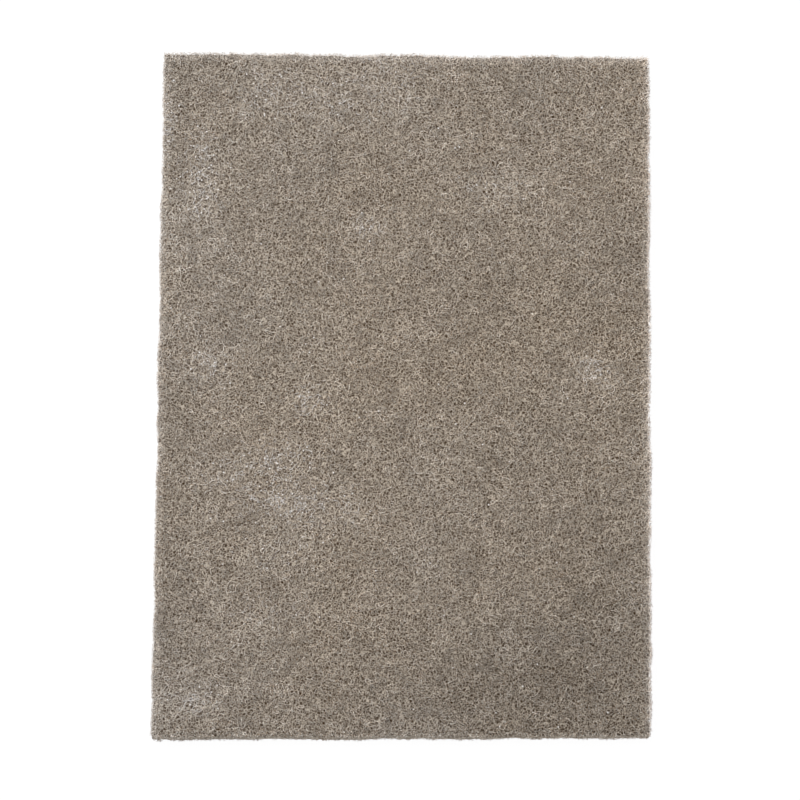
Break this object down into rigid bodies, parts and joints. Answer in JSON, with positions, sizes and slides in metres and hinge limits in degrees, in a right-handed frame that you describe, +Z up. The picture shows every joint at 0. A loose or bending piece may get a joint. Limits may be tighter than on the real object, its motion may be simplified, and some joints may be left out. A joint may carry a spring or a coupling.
{
  "type": "abrasive hand pad",
  "caption": "Rectangular non-woven abrasive hand pad: a flat, springy, open web of crimped grit-coated strands with fuzzy knife-cut edges.",
  "frame": {"origin": "the middle of the pad's footprint, on its underside", "axes": "+Z up through the thickness, +Y along the length, towards the picture's upper edge, +X across the width, to the picture's right"},
  "size_m": [0.159, 0.2255, 0.008],
  "materials": {
    "web": "matt grey-brown nylon strands coated with resin and fine grit"
  },
  "bodies": {
    "root": {"abrasive_pad": "web"}
  },
  "joints": []
}
